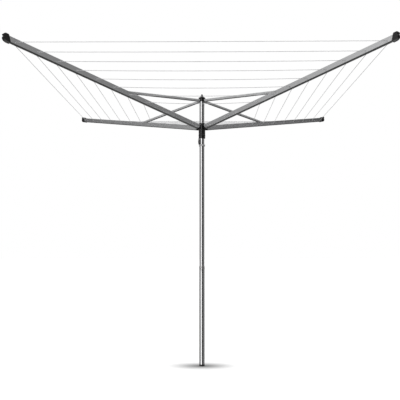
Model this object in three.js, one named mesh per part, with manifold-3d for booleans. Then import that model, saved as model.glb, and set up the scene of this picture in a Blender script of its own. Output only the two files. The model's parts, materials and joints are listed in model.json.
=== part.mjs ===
// Rotary clothesline: a telescopic mast, a fixed head, a sliding carriage and four folding arms.
// Millimetres, +Z up, origin at the centre of the mast's foot. The arms stand at 45 degrees to X and Y.
import * as THREE from 'three';
import { mergeVertices } from 'three/addons/utils/BufferGeometryUtils.js';
import Module from 'manifold-3d';

const wasm = await Module();
wasm.setup();

const gap = 0.3;

// Mast
const lowerTube = { outer: 18.5, inner: 17.35, bottom: 12.3, top: 640 };
const upperTube = { outer: 17, inner: 15.8, bottom: 460, top: 1806 };
const footPlug = { height: 12, spigotTop: 36 };
const collar = { outer: 18.7, top: 668 };
const bush = { bottom: 440, spigotTop: 490 };
const spigotRadius = 15.4;

// Head at the top of the mast: strut pivots on radius and height
const strutPivot = { r: 36, z: 1811 };
const head = { radius: 19, top: 1826.7, spigotBottom: 1776, lugHalfWidth: 3.4, lugRadius: 6.4 };

// Carriage that slides on the mast: arm pivots on radius and height
const armPivot = { r: 48, z: 1627.7 };
const carriage = { bore: 19.3, radius: 23, bottom: 1547, shoulder: 1640, top: 1652 };
const armLug = { halfWidth: 6, radius: 11, base: 14, seatDepth: 24, seatFlare: 4 };
const brakeRing = { bottom: 1493, top: 1504, outer: 21.3 };
const strap = { inner: 23.3, outer: 24.8, halfWidth: 6, top: 1563 };
const strapRivetHeights = [1552, 1559];
const lever = { x: -21.9, z: 1541, halfWidth: 21.1, cheek: 19.3, slot: 3.4, lug: 3 };

// Arms: distances along an arm are measured from its pivot, heights across it from its centre line
const armSlope = THREE.MathUtils.degToRad(10.88);
const arm = { height: 32, width: 24, wall: 1.6, corner: 4.5, start: -15, end: 1427.7 };
const strutJoint = { along: 620, above: 9 };
const cap = { start: 1410, width: 29, pocketWidth: 24.7, pocketHeight: 32.7 };
const root = { start: -13, end: 38, halfWidth: 9.7, slot: 6.4, bottom: -13.8, floor: -12.2, top: 12, corner: 2.4 };
const strut = { height: 19, width: 13.6, wall: 1.3, corner: 6, overhang: 9.5, notch: 12 };

// Pins
const strutPin = 2.5;
const armPin = 3;
const leverPin = 1.1;
const play = 0.35;

// Drying line: one cord, eight rounds, one hole further in at each round
const rounds = 8;
const line = { radius: 1.6, outerHole: 1411, spacing: 128, below: 4, hole: 2.8, bend: 13.2, tail: 8 };
const spokeAngles = [45, 315, 225, 135].map(THREE.MathUtils.degToRad);
const spokeNames = ['far_right', 'near_right', 'near_left', 'far_left'];

const finish = {
  chrome: { color: 0xc9cccf, metalness: 1, roughness: 0.16 },
  satin: { color: 0x9a9da0, metalness: 1, roughness: 0.4 },
  aluminium: { color: 0xa9abae, metalness: 0.9, roughness: 0.42 },
  black: { color: 0x151516, metalness: 0, roughness: 0.5 },
  darkGrey: { color: 0x48494b, metalness: 0, roughness: 0.45 },
  paleGrey: { color: 0xb9babb, metalness: 0, roughness: 0.5 },
  cord: { color: 0xd4d6d7, metalness: 0, roughness: 0.45 },
};

const part = new THREE.Group();

function addPiece(parent, name, geometry, look) {
  const mesh = new THREE.Mesh(geometry, new THREE.MeshStandardMaterial(finish[look]));
  mesh.name = name;
  parent.add(mesh);
  return mesh;
}

function solid(geometry) {
  const bare = geometry.index ? geometry.toNonIndexed() : geometry.clone();
  bare.deleteAttribute('normal');
  bare.deleteAttribute('uv');
  const merged = mergeVertices(bare);
  const vertProperties = new Float32Array(merged.attributes.position.array);
  const triVerts = new Uint32Array(merged.index.array);
  return new wasm.Manifold(new wasm.Mesh({ numProp: 3, vertProperties, triVerts }));
}

function surface(body) {
  const mesh = body.getMesh();
  const geometry = new THREE.BufferGeometry();
  geometry.setAttribute('position', new THREE.BufferAttribute(new Float32Array(mesh.vertProperties), 3));
  geometry.setIndex(new THREE.BufferAttribute(new Uint32Array(mesh.triVerts), 1));
  geometry.computeVertexNormals();
  return geometry;
}

// A turned piece about Z from [radius, height] points, anticlockwise; it closes on itself or on the axis
function turned(points, segments = 32) {
  const onAxis = points[0][0] === 0;
  const loop = onAxis ? points : [...points, points[0]];
  const profile = loop.map(([r, z]) => new THREE.Vector2(r, z));
  return new THREE.LatheGeometry(profile, segments).rotateX(Math.PI / 2);
}

function ring(inner, outer, bottom, top, segments = 32) {
  return turned([[inner, bottom], [outer, bottom], [outer, top], [inner, top]], segments);
}

// A post about Z
function post(radius, bottom, top, segments = 32) {
  return turned([[0, bottom], [radius, bottom], [radius, top], [0, top]], segments);
}

// A pin or hole across a spoke, along Y
function crossBar(radius, halfLength, x, z, segments = 16) {
  return new THREE.CylinderGeometry(radius, radius, 2 * halfLength, segments).translate(x, 0, z);
}

// A rivet along Y with a head at each end
function rivet(radius, halfGrip, headRadius, headThickness, x, z) {
  const end = halfGrip + headThickness;
  const profile = [[0, -end], [headRadius, -end], [headRadius, -halfGrip], [radius, -halfGrip],
    [radius, halfGrip], [headRadius, halfGrip], [headRadius, end], [0, end]];
  const points = profile.map(([r, y]) => new THREE.Vector2(r, y));
  return new THREE.LatheGeometry(points, 16).translate(x, 0, z);
}

function box(x0, x1, y0, y1, z0, z1) {
  const geometry = new THREE.BoxGeometry(x1 - x0, y1 - y0, z1 - z0);
  return geometry.translate((x0 + x1) / 2, (y0 + y1) / 2, (z0 + z1) / 2);
}

// A cross-section drawn in Y and Z, run along X
function runAlongX(shape, from, to) {
  const geometry = new THREE.ExtrudeGeometry(shape, { depth: to - from, bevelEnabled: false, curveSegments: 3 });
  const turn = new THREE.Matrix4().makeBasis(
    new THREE.Vector3(0, 1, 0), new THREE.Vector3(0, 0, 1), new THREE.Vector3(1, 0, 0));
  return geometry.applyMatrix4(turn).translate(from, 0, 0);
}

// A side view drawn in X and Z, given a thickness along Y
function plate(shape, y0, y1, curveSegments = 6) {
  const geometry = new THREE.ExtrudeGeometry(shape, { depth: y1 - y0, bevelEnabled: false, curveSegments });
  const turn = new THREE.Matrix4().makeBasis(
    new THREE.Vector3(1, 0, 0), new THREE.Vector3(0, 0, 1), new THREE.Vector3(0, -1, 0));
  return geometry.applyMatrix4(turn).translate(0, y1, 0);
}

function roundedRectangle(width, height, radius) {
  const shape = new THREE.Shape();
  const x = width / 2;
  const y = height / 2;
  const quarter = Math.PI / 2;
  shape.absarc(x - radius, y - radius, radius, 0, quarter);
  shape.absarc(radius - x, y - radius, radius, quarter, 2 * quarter);
  shape.absarc(radius - x, radius - y, radius, 2 * quarter, 3 * quarter);
  shape.absarc(x - radius, radius - y, radius, 3 * quarter, 4 * quarter);
  shape.closePath();
  return shape;
}

function outline(points) {
  const corners = points.map(([x, y]) => new THREE.Vector2(x, y));
  return new THREE.Shape(THREE.ShapeUtils.isClockWise(corners) ? corners.reverse() : corners);
}

function roundHole(x, y, radius) {
  return new THREE.Path().absarc(x, y, radius, 0, 2 * Math.PI, true);
}

// A group whose +X points outward along one arm's direction
function spokeGroup(angle, parent) {
  const group = new THREE.Group();
  group.rotation.z = angle;
  parent.add(group);
  return group;
}

function tiltedGroup(parent, r, z, tilt) {
  const group = new THREE.Group();
  group.position.set(r, 0, z);
  group.rotation.y = -tilt;
  parent.add(group);
  return group;
}

function onEverySpoke(geometry) {
  return spokeAngles.map((angle) => solid(geometry.clone().rotateZ(angle)));
}

// ---- mast ----
function buildMast() {
  const foot = [[0, 0], [lowerTube.outer - 1, 0], [lowerTube.outer, 1], [lowerTube.outer, footPlug.height],
    [lowerTube.inner - gap, footPlug.height], [lowerTube.inner - gap, footPlug.spigotTop],
    [0, footPlug.spigotTop]];
  addPiece(part, 'foot_plug', turned(foot), 'black');
  addPiece(part, 'lower_tube', ring(lowerTube.inner, lowerTube.outer, lowerTube.bottom, lowerTube.top), 'chrome');
  const collarBottom = lowerTube.top + gap;
  const collarProfile = [[lowerTube.inner, collarBottom], [collar.outer, collarBottom],
    [collar.outer, collar.top - 2], [collar.outer - 0.9, collar.top], [lowerTube.inner, collar.top]];
  addPiece(part, 'telescope_collar', turned(collarProfile), 'satin');

  const bushProfile = [[0, bush.bottom], [upperTube.outer, bush.bottom],
    [upperTube.outer, upperTube.bottom - gap], [spigotRadius, upperTube.bottom - gap],
    [spigotRadius, bush.spigotTop], [0, bush.spigotTop]];
  addPiece(part, 'bearing_bush', turned(bushProfile), 'black');
  addPiece(part, 'upper_tube', ring(upperTube.inner, upperTube.outer, upperTube.bottom, upperTube.top), 'chrome');
}

// A lug from the mast out to a pivot, rounded about the pivot, seen from the side
function lugOutline(r, z, radius, base) {
  const shape = new THREE.Shape();
  shape.moveTo(15.2, z - base);
  shape.absarc(r, z, radius, -Math.PI / 2, Math.PI / 2);
  shape.lineTo(15.2, z + base);
  shape.closePath();
  return shape;
}

// ---- head ----
function buildHead() {
  const bodyBottom = upperTube.top + gap;
  const { r, z: pivotZ } = strutPivot;
  const lugShape = lugOutline(r, pivotZ, head.lugRadius, head.lugRadius);
  lugShape.holes.push(roundHole(r, pivotZ, strutPin + play));
  let hub = solid(post(head.radius, bodyBottom, head.top));
  for (const lug of onEverySpoke(plate(lugShape, -head.lugHalfWidth, head.lugHalfWidth))) hub = hub.add(lug);
  hub = hub.subtract(solid(post(upperTube.outer + 0.4, bodyBottom - 20, bodyBottom)));
  hub = hub.add(solid(post(spigotRadius, head.spigotBottom, bodyBottom + 4)));
  addPiece(part, 'head_hub', surface(hub), 'black');

  const z = head.top + gap;
  const capProfile = [[0, z], [22.5, z], [24, z + 1.5], [24, z + 5], [21.5, z + 8], [13, z + 12],
    [9.5, z + 16], [7.6, z + 20], [6.8, z + 25], [5, z + 29.5], [2.5, z + 31.6], [0, z + 32]];
  addPiece(part, 'head_cap', turned(capProfile), 'black');
}

// ---- carriage ----
function buildCarriage() {
  const c = carriage;
  const profile = [[c.bore, c.bottom], [c.radius - 1, c.bottom], [c.radius, c.bottom + 2],
    [c.radius, 1566], [c.radius + 0.9, 1567.5], [c.radius + 0.9, 1570.5], [c.radius, 1572],
    [c.radius, c.shoulder - 2], [c.radius - 2, c.shoulder], [c.radius - 2, c.top], [c.bore, c.top]];
  let hub = solid(turned(profile, 40));
  const w = armLug.halfWidth;
  const lug = solid(plate(lugOutline(armPivot.r, armPivot.z, armLug.radius, armLug.base), -w, w))
    .subtract(solid(plate(armPinSeat(), -w - 1, w + 1)));
  for (const angle of spokeAngles) hub = hub.add(lug.rotate([0, 0, THREE.MathUtils.radToDeg(angle)]));
  const leverLug = outline([[-19.6, c.bottom + 1], [-24.3, c.bottom + 1], [-24.3, lever.z],
    [lever.x - 1.7, lever.z - 1.8], [lever.x, lever.z - 2.5], [-20.2, lever.z - 1.8], [-19.5, lever.z]]);
  leverLug.holes.push(roundHole(lever.x, lever.z, leverPin + play));
  hub = hub.add(solid(plate(leverLug, -lever.lug, lever.lug)));
  for (const z of strapRivetHeights) hub = hub.subtract(solid(rivetBody(2 + gap, 20.4, 24, z)));
  hub = hub.subtract(solid(post(c.bore, c.bottom - 20, c.top + 5, 40)));
  addPiece(part, 'carriage_hub', surface(hub), 'black');

  let brake = solid(ring(c.bore, brakeRing.outer, brakeRing.bottom, brakeRing.top));
  const side = strap.halfWidth;
  brake = brake.add(solid(box(-side, side, c.bore + 0.8, strap.outer, brakeRing.bottom, brakeRing.top)));
  brake = brake.add(solid(box(-side, side, strap.inner, strap.outer, brakeRing.bottom, strap.top)));
  for (const z of strapRivetHeights) brake = brake.subtract(solid(rivetBody(2 + gap, 22, 26, z)));
  addPiece(part, 'brake_ring', surface(brake), 'paleGrey');

  strapRivetHeights.forEach((z, index) => {
    const shank = solid(rivetBody(2, 20.8, strap.outer + gap + 0.5, z, 12));
    const headDisc = solid(rivetBody(3.1, strap.outer + gap, strap.outer + 1.6, z, 16));
    addPiece(part, `strap_rivet_${index + 1}`, surface(shank.add(headDisc)), 'satin');
  });
}

// Seat for an arm pin, closed above and open below: an open arm pushes its pin up into it
function armPinSeat() {
  const shape = new THREE.Shape();
  const { r, z } = armPivot;
  const halfWidth = armPin + play;
  shape.moveTo(r - halfWidth, z - armLug.seatDepth);
  shape.lineTo(r - halfWidth, z);
  shape.absarc(r, z, halfWidth, Math.PI, 0, true);
  shape.lineTo(r + halfWidth + armLug.seatFlare, z - armLug.seatDepth);
  shape.closePath();
  return shape;
}

// A short round bar along Y at the back of the carriage
function rivetBody(radius, y0, y1, z, segments = 16) {
  return new THREE.CylinderGeometry(radius, radius, y1 - y0, segments).translate(0, (y0 + y1) / 2, z);
}

function buildLever() {
  const { x, z, halfWidth } = lever;
  const side = outline([[x + 1.7, z + 1.8], [x + 2.4, z], [x + 2.4, z - 30], [x + 2, z - 36],
    [x + 0.8, z - 36], [x - 0.6, z - 33], [x - 2.6, z - 29], [x - 4, z - 24], [x - 4.3, z - 18],
    [x - 4, z - 12], [x - 3, z - 6], [x - 2.4, z], [x - 1.7, z + 1.8], [x, z + 2.5]]);
  const cheek = outline([[x - 1, z - 2.4], [x + 6.5, z - 4], [x + 9.6, z - 8], [x + 9.6, z - 29],
    [x + 7, z - 33.5], [x, z - 34.5], [x - 2, z - 20]]);
  side.holes.push(roundHole(x, z, leverPin + play));
  let paddle = solid(plate(side, -halfWidth, halfWidth));
  for (const y of [lever.cheek, -halfWidth]) {
    paddle = paddle.add(solid(plate(cheek, y, y + halfWidth - lever.cheek)));
  }
  paddle = paddle.subtract(solid(box(x - 8, x + 8, -lever.slot, lever.slot, z - 8, z + 8)));
  addPiece(part, 'release_lever', surface(paddle), 'darkGrey');
  addPiece(part, 'lever_pin', crossBar(leverPin, halfWidth + 0.4, x, z, 12), 'satin');
}

// ---- arms and struts ----
function armSection() {
  const shape = new THREE.Shape();
  const y = arm.width / 2;
  const z = arm.height / 2;
  const quarter = Math.PI / 2;
  const inner = arm.corner - arm.wall;
  shape.moveTo(-y, z);
  shape.absarc(arm.corner - y, arm.corner - z, arm.corner, 2 * quarter, 3 * quarter);
  shape.absarc(y - arm.corner, arm.corner - z, arm.corner, 3 * quarter, 4 * quarter);
  shape.lineTo(y, z);
  shape.lineTo(y - arm.wall, z);
  shape.absarc(y - arm.corner, arm.corner - z, inner, 4 * quarter, 3 * quarter, true);
  shape.absarc(arm.corner - y, arm.corner - z, inner, 3 * quarter, 2 * quarter, true);
  shape.lineTo(arm.wall - y, z);
  shape.closePath();
  return shape;
}

function alongArm(radius) {
  return (radius - armPivot.r) / Math.cos(armSlope);
}

function holeRadius(round) {
  return line.outerHole - round * line.spacing;
}

function armChannel() {
  let channel = solid(runAlongX(armSection(), arm.start, arm.end));
  for (let round = 0; round < rounds; round += 1) {
    const hole = crossBar(line.hole, arm.width, alongArm(holeRadius(round)), -line.below, 10);
    channel = channel.subtract(solid(hole));
  }
  channel = channel.subtract(solid(crossBar(strutPin + play, arm.width, strutJoint.along, strutJoint.above)));
  channel = channel.subtract(solid(crossBar(armPin + play, arm.width, 0, 0)));
  const rootCorner = outline([[5.6, -17], [arm.start - 1, -17], [arm.start - 1, -1]]);
  channel = channel.subtract(solid(plate(rootCorner, -arm.width, arm.width)));
  return surface(channel);
}

// A liner in the arm's root: two cheeks beside the carriage lug, joined by a floor
function rootInsert() {
  const { start, end, bottom, top } = root;
  const side = outline([[end, bottom], [end, top], [start + 4, top], [start, top - 4], [start, -11],
    [start + 5, -arm.height / 2], [1, -arm.height / 2], [2.2, bottom]]);
  side.holes.push(roundHole(0, 0, armPin + play));
  let liner = solid(plate(side, -root.halfWidth, root.halfWidth));
  const w = root.halfWidth;
  const edge = outline([[w + 1, bottom + root.corner], [w, bottom + root.corner], [w - root.corner, bottom],
    [w - root.corner, -arm.height], [w + 1, -arm.height]]);
  const strip = solid(runAlongX(edge, start - 1, end + 1));
  liner = liner.subtract(strip).subtract(strip.mirror([0, 1, 0]));
  return surface(liner.subtract(solid(box(start - 1, end + 1, -root.slot, root.slot, root.floor, top + 1))));
}

// Rounded cap with a notch in its outer end
function endCap() {
  const { start } = cap;
  const shape = new THREE.Shape();
  shape.moveTo(start, -18.4);
  shape.lineTo(1426, -18.4);
  shape.quadraticCurveTo(1448, -17, 1452, -2);
  shape.quadraticCurveTo(1453.5, 5, 1449.5, 7.5);
  shape.quadraticCurveTo(1447.6, 9.3, 1450, 11.2);
  shape.quadraticCurveTo(1456.5, 13, 1455, 18);
  shape.quadraticCurveTo(1453, 22.6, 1445, 22.6);
  shape.lineTo(1434, 22.6);
  shape.quadraticCurveTo(1428, 22.4, 1427, 17.6);
  shape.closePath();
  const halfWidth = cap.width / 2;
  const body = solid(plate(shape, -halfWidth, halfWidth));
  const w = cap.pocketWidth / 2;
  const h = cap.pocketHeight / 2;
  return surface(body.subtract(solid(box(start - 5, arm.end + gap, -w, w, -h, h))));
}

function strutTube(length) {
  const section = roundedRectangle(strut.width, strut.height, strut.corner);
  const bore = roundedRectangle(strut.width - 2 * strut.wall, strut.height - 2 * strut.wall,
    strut.corner - strut.wall);
  section.holes.push(new THREE.Path(bore.getPoints(3)));
  let tube = solid(runAlongX(section, -strut.overhang, length + strut.overhang));
  for (const x of [0, length]) tube = tube.subtract(solid(crossBar(strutPin + play, strut.width, x, 0)));
  const w = strut.width / 2 - strut.wall;
  const notch = box(-strut.overhang - 1, strut.notch, -w, w, -strut.height, -strut.height / 4);
  return surface(tube.subtract(solid(notch)));
}

function buildSpokes() {
  const jointR = armPivot.r + strutJoint.along * Math.cos(armSlope) - strutJoint.above * Math.sin(armSlope);
  const jointZ = armPivot.z + strutJoint.along * Math.sin(armSlope) + strutJoint.above * Math.cos(armSlope);
  const strutLength = Math.hypot(jointR - strutPivot.r, jointZ - strutPivot.z);
  const strutSlope = Math.atan2(jointZ - strutPivot.z, jointR - strutPivot.r);
  const channel = armChannel();
  const insert = rootInsert();
  const tip = endCap();
  const tube = strutTube(strutLength);
  spokeAngles.forEach((angle, index) => {
    const name = spokeNames[index];
    const spoke = spokeGroup(angle, part);
    const armGroup = tiltedGroup(spoke, armPivot.r, armPivot.z, armSlope);
    addPiece(armGroup, `arm_${name}`, channel, 'aluminium');
    addPiece(armGroup, `arm_root_${name}`, insert, 'black');
    addPiece(armGroup, `end_cap_${name}`, tip, 'black');
    const grip = arm.width / 2 + gap;
    addPiece(armGroup, `joint_rivet_${name}`,
      rivet(strutPin, grip, 4.4, 1.4, strutJoint.along, strutJoint.above), 'satin');
    addPiece(armGroup, `arm_pin_${name}`, rivet(armPin, grip, 5.2, 1.6, 0, 0), 'satin');
    const strutGroup = tiltedGroup(spoke, strutPivot.r, strutPivot.z, strutSlope);
    addPiece(strutGroup, `strut_${name}`, tube, 'aluminium');
    addPiece(strutGroup, `strut_pin_${name}`, rivet(strutPin, strut.width / 2 + gap, 4, 1.2, 0, 0), 'satin');
  });
}

// ---- drying line ----
// A route of straight runs; each corner is one step of the extrusion
class CornerRoute extends THREE.Curve {
  constructor(corners) {
    super();
    this.corners = corners;
  }

  getPoint(t) {
    const place = t * (this.corners.length - 1);
    const index = Math.min(Math.floor(place), this.corners.length - 2);
    return this.corners[index].clone().lerp(this.corners[index + 1], place - index);
  }

  getPointAt(u) {
    return this.getPoint(u);
  }

  getTangentAt(u) {
    const index = Math.round(u * (this.corners.length - 1));
    const direction = new THREE.Vector3();
    if (index > 0) direction.add(this.run(index - 1));
    if (index < this.corners.length - 1) direction.add(this.run(index));
    return direction.normalize();
  }

  run(index) {
    return this.corners[index + 1].clone().sub(this.corners[index]).normalize();
  }
}

function linePoint(spoke, round, sideways) {
  const along = alongArm(holeRadius(round));
  const r = armPivot.r + along * Math.cos(armSlope) + line.below * Math.sin(armSlope);
  const z = armPivot.z + along * Math.sin(armSlope) - line.below * Math.cos(armSlope);
  return new THREE.Vector3(r, sideways, z).applyAxisAngle(new THREE.Vector3(0, 0, 1), spokeAngles[spoke]);
}

function buildLine() {
  const corners = [];
  for (let round = 0; round < rounds; round += 1) {
    for (let spoke = 0; spoke < spokeAngles.length; spoke += 1) {
      const first = round === 0 && spoke === 0;
      const last = round === rounds - 1 && spoke === spokeAngles.length - 1;
      corners.push(linePoint(spoke, round, first ? line.tail : line.bend));
      corners.push(linePoint(spoke, round, last ? -line.tail : -line.bend));
    }
  }
  const section = new THREE.Shape();
  section.absarc(0, 0, line.radius, 0, 2 * Math.PI);
  const geometry = new THREE.ExtrudeGeometry(section, {
    steps: corners.length - 1, curveSegments: 4, bevelEnabled: false, extrudePath: new CornerRoute(corners),
  });
  addPiece(part, 'drying_line', geometry, 'cord');
}

buildMast();
buildHead();
buildCarriage();
buildLever();
buildSpokes();
buildLine();

export default part;
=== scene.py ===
import json
import math
import bpy
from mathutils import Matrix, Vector


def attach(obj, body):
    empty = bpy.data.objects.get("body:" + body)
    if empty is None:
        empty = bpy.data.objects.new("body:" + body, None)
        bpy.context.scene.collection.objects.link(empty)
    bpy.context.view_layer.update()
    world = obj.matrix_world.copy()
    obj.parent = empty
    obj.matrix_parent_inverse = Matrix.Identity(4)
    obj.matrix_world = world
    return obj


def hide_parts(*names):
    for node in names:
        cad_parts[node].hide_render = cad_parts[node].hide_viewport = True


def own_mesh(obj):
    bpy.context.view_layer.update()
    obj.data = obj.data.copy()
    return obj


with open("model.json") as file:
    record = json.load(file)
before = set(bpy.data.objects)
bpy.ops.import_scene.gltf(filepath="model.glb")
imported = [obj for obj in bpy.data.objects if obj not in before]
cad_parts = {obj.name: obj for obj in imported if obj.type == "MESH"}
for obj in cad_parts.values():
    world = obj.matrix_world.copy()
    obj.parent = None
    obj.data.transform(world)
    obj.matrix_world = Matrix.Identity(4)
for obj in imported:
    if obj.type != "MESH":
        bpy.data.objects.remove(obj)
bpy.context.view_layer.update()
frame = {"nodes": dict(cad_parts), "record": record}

nodes = frame["nodes"]
print("frame loaded:", len(nodes), "CAD nodes")


# lengths are in metres throughout

cameraSetup = {
    "place": (0.0297, -4.1489, 0.789),
    "tilt": 94.56,  # degrees from straight down
    "heading": 0.598,  # degrees, anticlockwise from +Y
    "lens": 54.48,  # millimetres
}


def setCamera():
    cameraData = bpy.data.cameras.new("viewCamera")
    cameraData.lens = cameraSetup["lens"]
    camera = bpy.data.objects.new("viewCamera", cameraData)
    camera.location = cameraSetup["place"]
    camera.rotation_euler = (math.radians(cameraSetup["tilt"]), 0, math.radians(cameraSetup["heading"]))
    bpy.context.scene.collection.objects.link(camera)
    bpy.context.scene.camera = camera


setCamera()
print("camera placed")


class Wire:  # a node's output socket, so that sums on it add Math nodes
    def __init__(self, mixer, socket):
        self.mixer = mixer
        self.socket = socket

    def __add__(self, other):
        return self.mixer.maths("ADD", self, other)

    def __radd__(self, other):
        return self.mixer.maths("ADD", other, self)

    def __sub__(self, other):
        return self.mixer.maths("SUBTRACT", self, other)

    def __rsub__(self, other):
        return self.mixer.maths("SUBTRACT", other, self)

    def __mul__(self, other):
        return self.mixer.maths("MULTIPLY", self, other)

    def __rmul__(self, other):
        return self.mixer.maths("MULTIPLY", other, self)

    def __truediv__(self, other):
        return self.mixer.maths("DIVIDE", self, other)

    def __rtruediv__(self, other):
        return self.mixer.maths("DIVIDE", other, self)


class Mixer:  # the node tree of one material, or of the world
    def __init__(self, tree):
        self.tree = tree
        tree.nodes.clear()

    def add(self, kind, settings, sockets, out=0):
        node = self.tree.nodes.new("ShaderNode" + kind)
        for key, value in settings.items():
            if key == "stops":
                self.setStops(node.color_ramp, value)
            else:
                setattr(node, key, value)
        for key, value in sockets.items():
            if isinstance(value, Wire):
                self.tree.links.new(value.socket, node.inputs[key])
            else:
                node.inputs[key].default_value = value
        return Wire(self, node.outputs[out]) if node.outputs else node

    def setStops(self, ramp, stops):
        while len(ramp.elements) < len(stops):
            ramp.elements.new(0.5)
        for element, (position, tone) in zip(ramp.elements, stops):
            element.position = position
            element.color = grey(tone)

    def maths(self, operation, *values):
        return self.add("Math", {"operation": operation}, dict(enumerate(values)))

    def absolute(self, vector):
        return self.add("VectorMath", {"operation": "ABSOLUTE"}, {0: vector})

    def tinted(self, tone, tint):
        return self.add("VectorMath", {"operation": "SCALE"}, {0: tint, 3: tone})

    def colourMix(self, amount, first, second):
        return self.add("Mix", {"data_type": "RGBA"}, {0: amount, 6: first, 7: second}, 2)

    def split(self, vector):
        return [self.add("SeparateXYZ", {}, {0: vector}, axis) for axis in range(3)]

    def join(self, x, y, z):
        return self.add("CombineXYZ", {}, {0: x, 1: y, 2: z})

    def place(self):
        return self.add("TexCoord", {}, {}, "Object")

    def facing(self):
        return self.add("TexCoord", {}, {}, "Normal")

    def noise(self, vector, scale, detail=2.0, roughness=0.5):
        sockets = {"Vector": vector, "Scale": scale, "Detail": detail, "Roughness": roughness}
        return self.add("TexNoise", {}, sockets)

    def bump(self, height, finish):
        sockets = {"Strength": finish["bump"], "Distance": finish["depth"], "Height": height}
        return self.add("Bump", {}, sockets)

    def between(self, amount, limits):
        low, high = limits
        return low + amount * (high - low)

    def easeIn(self, amount, limits):  # 0 before the first limit, 1 past the second, smooth between
        start, end = limits
        return self.add("MapRange", {"interpolation_type": "SMOOTHSTEP"},
                        {0: amount, 1: start, 2: end, 3: 0.0, 4: 1.0})


def grey(tone):
    return (tone, tone, tone, 1)


def newMaterial(name):
    material = bpy.data.materials.new(name)
    material.use_nodes = True
    return material, Mixer(material.node_tree)


def finishMaterial(mixer, sockets):
    surface = mixer.add("BsdfPrincipled", {}, sockets)
    mixer.add("OutputMaterial", {}, {"Surface": surface})


mastFinish = {
    "tone": (0.66, 0.69),
    "tint": (1, 1, 1.01),
    "roughness": (0.14, 0.17),
    "streaks": 900,  # faint drawing lines down the tube
    "stretch": 0.004,
    "patches": 9,
    "patchTone": 0.66,
    "patchShare": 0.3,
}


def makeMastMetal():
    material, mixer = newMaterial("brightMastTube")
    x, y, z = mixer.split(mixer.place())
    streaks = mixer.noise(mixer.join(x, y, z * mastFinish["stretch"]), mastFinish["streaks"])
    patches = mixer.noise(mixer.place(), mastFinish["patches"], detail=3)
    drawn = mixer.tinted(mixer.between(streaks, mastFinish["tone"]), mastFinish["tint"])
    share = patches * mastFinish["patchShare"]
    finishMaterial(mixer, {
        "Base Color": mixer.colourMix(share, drawn, grey(mastFinish["patchTone"])),
        "Metallic": 1.0,
        "Roughness": mixer.between(patches, mastFinish["roughness"]),
    })
    return material


satinSurface = {
    "tint": (1, 1.005, 1.015),
    "grain": 420,
    "stretch": 0.012,  # the grain is drawn out along the arm
    "clouds": 6,
    "bump": 0.12,
    "depth": 0.0003,
    "underneath": 0.05,  # painted shade: tone of the faces that look down
    "paintedShadeTurnDown": (-0.1, -0.7),  # how far down a face looks where the painted shade starts and is full
}
armFinish = {"tone": (0.756, 0.924), "metal": 1.0, "roughness": (0.24, 0.32)}
strutFinish = {"tone": (0.702, 0.858), "metal": 0.5, "roughness": (0.34, 0.44)}


def lengthwise(mixer):
    # along an arm, across it and up, the same for the four arms because they lie on the diagonals
    x, y, z = mixer.split(mixer.absolute(mixer.place()))
    return (x + y) * math.sqrt(0.5), (x - y) * math.sqrt(0.5), z


def makeSatinMetal(name, finish):
    material, mixer = newMaterial(name)
    along, across, up = lengthwise(mixer)
    drawnOut = mixer.join(along * satinSurface["stretch"], across, up)
    grain = mixer.noise(drawnOut, satinSurface["grain"], detail=3, roughness=0.6)
    clouds = mixer.noise(mixer.place(), satinSurface["clouds"])
    satin = mixer.tinted(mixer.between(grain, finish["tone"]), satinSurface["tint"])
    # painted shade: faces that look down are darkened towards the underneath tone
    paintedShade = mixer.easeIn(mixer.split(mixer.facing())[2], satinSurface["paintedShadeTurnDown"])
    finishMaterial(mixer, {
        "Base Color": mixer.colourMix(paintedShade, satin, grey(satinSurface["underneath"])),
        "Metallic": finish["metal"],
        "Roughness": mixer.between(clouds, finish["roughness"]),
        "Normal": mixer.bump(grain, satinSurface),
    })
    return material


pinFinish = {"tone": (0.51, 0.66), "roughness": (0.28, 0.44), "wear": 160}


def makePinMetal():
    material, mixer = newMaterial("satinSteelPin")
    wear = mixer.noise(mixer.place(), pinFinish["wear"], detail=3)
    tone = mixer.between(wear, pinFinish["tone"])
    finishMaterial(mixer, {
        "Base Color": mixer.join(tone, tone, tone),
        "Metallic": 1.0,
        "Roughness": mixer.between(wear, pinFinish["roughness"]),
    })
    return material


blackFinish = {
    "tone": (0.008, 0.014),
    "tint": (1, 1, 1.06),
    "roughness": (0.2, 0.34),
    "shine": 0.55,
    "grain": 1400,
    "clouds": 30,
    "bump": 0.08,
    "depth": 0.0002,
}


def makeBlackPlastic():
    material, mixer = newMaterial("grainedBlackPlastic")
    grain = mixer.noise(mixer.place(), blackFinish["grain"])
    clouds = mixer.noise(mixer.place(), blackFinish["clouds"], detail=3)
    finishMaterial(mixer, {
        "Base Color": mixer.tinted(mixer.between(clouds, blackFinish["tone"]), blackFinish["tint"]),
        "Roughness": mixer.between(clouds, blackFinish["roughness"]),
        "Specular IOR Level": blackFinish["shine"],
        "Normal": mixer.bump(grain, blackFinish),
    })
    return material


smoothSurface = {"tint": (1, 1, 1.01), "clouds": 60}
leverFinish = {"tone": (0.075, 0.1), "roughness": (0.36, 0.48)}
ringFinish = {"tone": (0.6, 0.7), "roughness": (0.4, 0.52)}


def makeSmoothPlastic(name, finish):
    material, mixer = newMaterial(name)
    clouds = mixer.noise(mixer.place(), smoothSurface["clouds"], detail=3)
    finishMaterial(mixer, {
        "Base Color": mixer.tinted(mixer.between(clouds, finish["tone"]), smoothSurface["tint"]),
        "Roughness": mixer.between(clouds, finish["roughness"]),
    })
    return material


cordFinish = {
    "tone": (0.68, 0.8),
    "tint": (1, 1, 1.02),
    "roughness": (0.45, 0.6),
    "clouds": 80,
    "grain": 700,
    "bump": 0.1,
    "depth": 0.0002,
}


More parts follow.
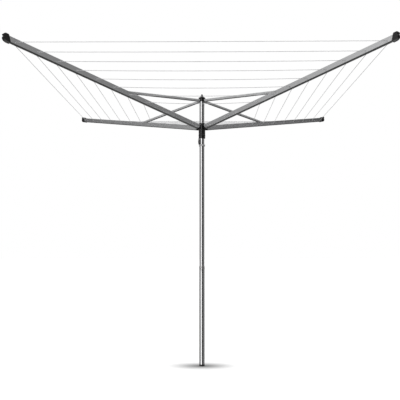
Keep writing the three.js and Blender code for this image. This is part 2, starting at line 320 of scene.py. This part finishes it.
def makeCordPlastic():
    material, mixer = newMaterial("coatedCord")
    clouds = mixer.noise(mixer.place(), cordFinish["clouds"], detail=3)
    grain = mixer.noise(mixer.place(), cordFinish["grain"])
    finishMaterial(mixer, {
        "Base Color": mixer.tinted(mixer.between(clouds, cordFinish["tone"]), cordFinish["tint"]),
        "Roughness": mixer.between(clouds, cordFinish["roughness"]),
        "Normal": mixer.bump(grain, cordFinish),
    })
    return material


# one finish for each of the record's slots, and one more for the struts, which are duller than the arms
finishes = {
    "mast_metal": makeMastMetal(),
    "arm_metal": makeSatinMetal("satinArmExtrusion", armFinish),
    "pin_metal": makePinMetal(),
    "black_plastic": makeBlackPlastic(),
    "dark_plastic": makeSmoothPlastic("darkLeverPlastic", leverFinish),
    "grey_plastic": makeSmoothPlastic("paleRingPlastic", ringFinish),
    "line_plastic": makeCordPlastic(),
}
strutMetal = makeSatinMetal("satinStrutTube", strutFinish)


def dressCadNodes():
    for row in frame["record"]["subparts"]:
        piece = nodes[row["node"]]
        isStrut = row["node"].startswith("strut_") and row["material_slot"] == "arm_metal"  # not its pin
        piece.data.materials.clear()
        piece.data.materials.append(strutMetal if isStrut else finishes[row["material_slot"]])


dressCadNodes()
print("finishes on the CAD nodes")


# every span of the drying line is two halves, each on its own arm
lineSetup = {
    "rounds": 8,
    "outerHole": 1.411,  # from the mast's centre
    "spacing": 0.128,
    "below": 0.004,  # under the arm's centre line
    "radius": 0.0014,
    "wall": 0.0126,  # from the arm's centre to just outside its wall
    "sag": 0.002,
    "nearSag": 0.001,  # of the outermost span between the two near arms
    "nearSagGrowth": 0.0015,  # the inner rounds there hang a little more
    "steps": 7,
    "sides": 8,
}
armLine = {"pivotRadius": 0.048, "pivotHeight": 1.6277, "slope": math.radians(10.88)}
armAzimuths = {"far_right": 45, "near_right": 315, "near_left": 225, "far_left": 135}
armOrder = list(armAzimuths)


def outward(arm):
    azimuth = math.radians(armAzimuths[arm])
    return Vector((math.cos(azimuth), math.sin(azimuth), 0))


def holeRadius(turn):
    return lineSetup["outerHole"] - turn * lineSetup["spacing"]


def holePlace(arm, turn):
    # where the line passes the arm's centre plane
    slope = armLine["slope"]
    along = (holeRadius(turn) - armLine["pivotRadius"]) / math.cos(slope)
    radius = armLine["pivotRadius"] + along * math.cos(slope) + lineSetup["below"] * math.sin(slope)
    height = armLine["pivotHeight"] + along * math.sin(slope) - lineSetup["below"] * math.cos(slope)
    return outward(arm) * radius + Vector((0, 0, height))


def addPiece(name, corners, faces, material):
    mesh = bpy.data.meshes.new(name)
    mesh.from_pydata(corners, [], faces)
    mesh.materials.append(material)
    piece = bpy.data.objects.new(name, mesh)
    bpy.context.scene.collection.objects.link(piece)
    return piece


def addLine(name, paths):
    # one round closed tube for each path, all in one piece
    sides = lineSetup["sides"]
    corners, faces = [], []
    for path in paths:
        first = len(corners)
        for index, point in enumerate(path):
            ahead = path[min(index + 1, len(path) - 1)] - path[max(index - 1, 0)]
            side = ahead.cross(Vector((0, 0, 1))).normalized()
            top = side.cross(ahead).normalized()
            for corner in range(sides):
                angle = 2 * math.pi * corner / sides
                corners.append(point + (side * math.cos(angle) + top * math.sin(angle)) * lineSetup["radius"])
        for index in range(len(path) - 1):
            for corner in range(sides):
                here = first + index * sides + corner
                beside = first + index * sides + (corner + 1) % sides
                faces.append((here, beside, beside + sides, here + sides))
        faces.append(tuple(first + corner for corner in reversed(range(sides))))
        faces.append(tuple(first + (len(path) - 1) * sides + corner for corner in range(sides)))
    piece = addPiece(name, corners, faces, finishes["line_plastic"])
    for face in piece.data.polygons:
        face.use_smooth = len(face.vertices) == 4  # the two ends stay flat
    return piece


def spanSag(arm, other, turn):
    if {arm, other} == {"near_left", "near_right"}:
        return lineSetup["nearSag"] + lineSetup["nearSagGrowth"] * turn
    return lineSetup["sag"]


def addHalfSpan(arm, other, turn, otherTurn):
    # from the arm's wall to where the two halves meet
    sideways = outward(other)
    start = holePlace(arm, turn) + sideways * lineSetup["wall"]
    end = holePlace(other, otherTurn) + outward(arm) * lineSetup["wall"]
    share = holeRadius(turn) / (holeRadius(turn) + holeRadius(otherTurn))
    sag = spanSag(arm, other, turn)
    points = []
    for step in range(lineSetup["steps"] + 1):
        along = step / lineSetup["steps"] * share
        drop = 4 * sag * along * (1 - along)  # deepest in the middle of the whole span
        points.append(start.lerp(end, along) - Vector((0, 0, drop)))
    piece = addLine(f"line_{arm}_to_{other}_{turn + 1}", [points])
    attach(piece, "arm_" + arm)
    slacken(piece, arm, sideways, start, points[-1])
    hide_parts("drying_line")


def slacken(piece, arm, sideways, start, end):
    # works out how a half span would lie down along its own arm to meet the next arm's half when the arms
    # fold, but only gives the piece its own mesh; nothing folds it
    slope = armLine["slope"]
    above = Vector((0, 0, math.cos(slope))) - outward(arm) * math.sin(slope)
    reach = end - start
    rise = reach.dot(above)
    out = reach.dot(sideways)
    foldedRadius = armLine["pivotRadius"] + lineSetup["below"]
    keep = (foldedRadius - lineSetup["wall"]) / (rise + out)
    above * rise + sideways * out
    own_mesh(piece)


def addThroughLines(arm):
    # the short stretches of line inside the arm
    index = armOrder.index(arm)
    back = outward(armOrder[index - 1])
    ahead = outward(armOrder[(index + 1) % len(armOrder)])
    paths = []
    for turn in range(lineSetup["rounds"]):
        place = holePlace(arm, turn)
        paths.append([place + back * lineSetup["wall"], place + ahead * lineSetup["wall"]])
    piece = addLine(f"line_through_{arm}", paths)
    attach(piece, "arm_" + arm)
    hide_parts("drying_line")


def makeDryingLine():
    for index, arm in enumerate(armOrder):
        addThroughLines(arm)
        following = armOrder[(index + 1) % len(armOrder)]
        step = 1 if following == "far_right" else 0  # the line moves one hole inward behind the mast
        for turn in range(lineSetup["rounds"] - step):
            addHalfSpan(arm, following, turn, turn + step)
            addHalfSpan(following, arm, turn + step, turn)


makeDryingLine()
print("drying line strung")


floorSetup = {
    "halfSize": 40,
    "tone": 0.8,
    "mottle": 0.01,
    "mottleScale": 0.7,
    "roughness": 0.9,
    "glow": 0.62,
    "shade": 0.1,  # tone of the soft shade round the foot
    "shadeWide": 0.3,
    "shadeDeep": 0.17,
    "shadeFade": (-0.2, 1.0),  # starts under 0, so that the shade is never quite full
}


def makePaleFloor():
    material, mixer = newMaterial("paleFloor")
    x, y = mixer.split(mixer.place())[:2]
    wide = x / floorSetup["shadeWide"]
    deep = y / floorSetup["shadeDeep"]
    clear = mixer.easeIn(mixer.maths("SQRT", wide * wide + deep * deep), floorSetup["shadeFade"])
    tone = floorSetup["tone"] - floorSetup["mottle"] * mixer.noise(mixer.place(), floorSetup["mottleScale"])
    shade = grey(floorSetup["shade"])
    finishMaterial(mixer, {
        "Base Color": mixer.colourMix(clear, shade, mixer.join(tone, tone, tone)),
        "Roughness": floorSetup["roughness"],
        "Specular IOR Level": 0.0,
        "Emission Color": mixer.colourMix(clear, shade, grey(1.0)),
        "Emission Strength": floorSetup["glow"],
    })
    return material


def makeFloor():
    half = floorSetup["halfSize"]
    corners = [(-half, -half, 0), (half, -half, 0), (half, half, 0), (-half, half, 0)]
    floor = addPiece("floor", corners, [(0, 1, 2, 3)], makePaleFloor())
    floor.visible_glossy = False  # the studio's panels light the metal from all round
    floor.visible_diffuse = False


studioLight = {
    # brightness of the walls by direction, in degrees anticlockwise from +X: the camera stands at -90
    "horizon": [
        (-180, 0.4), (-170, 0.46), (-161, 0.8), (-152, 0.3), (-136, 0.3), (-126, 2.2), (-108, 2.2),
        (-98, 0.1), (-88, 0.01), (-56, 0.01), (-40, 0.26), (-12, 0.25), (2, 0.2), (9, 0.03), (22, 0.04),
        (34, 0.3), (46, 0.3), (52, 1.4), (62, 1.4), (68, 0.4), (100, 0.35), (112, 0.08), (128, 0.3),
        (148, 0.3), (160, 0.02), (166, 0.02), (173, 0.22), (180, 0.4),
    ],
    "overhead": 0.8,
    "overheadFrom": (0.45, 0.85),  # how far up a direction points where the ceiling starts and is full
    "underneath": 0.5,
    "underneathFrom": (-0.24, -0.5),
}


def makeStudioLight():
    world = bpy.data.worlds.new("studio")
    bpy.context.scene.world = world
    world.use_nodes = True
    mixer = Mixer(world.node_tree)
    x, y, z = mixer.split(mixer.add("TexCoord", {}, {}, "Generated"))
    azimuth = mixer.maths("ARCTAN2", y, x) / (2 * math.pi) + 0.5
    stops = [((degrees + 180) / 360, tone) for degrees, tone in studioLight["horizon"]]
    walls = mixer.add("ValToRGB", {"stops": stops}, {0: azimuth})
    above = mixer.easeIn(z, studioLight["overheadFrom"])
    below = mixer.easeIn(z, studioLight["underneathFrom"])
    room = mixer.colourMix(above, walls, grey(studioLight["overhead"]))
    room = mixer.colourMix(below, room, grey(studioLight["underneath"]))
    light = mixer.add("Background", {}, {"Color": room})
    white = mixer.add("Background", {}, {"Color": grey(1.0)})
    seen = mixer.add("LightPath", {}, {}, "Is Camera Ray")  # the camera itself sees plain white
    mixer.add("OutputWorld", {}, {"Surface": mixer.add("MixShader", {}, {0: seen, 1: light, 2: white})})
    bpy.context.scene.view_settings.view_transform = "Standard"


makeFloor()
makeStudioLight()
print("floor and light ready")

print("done")
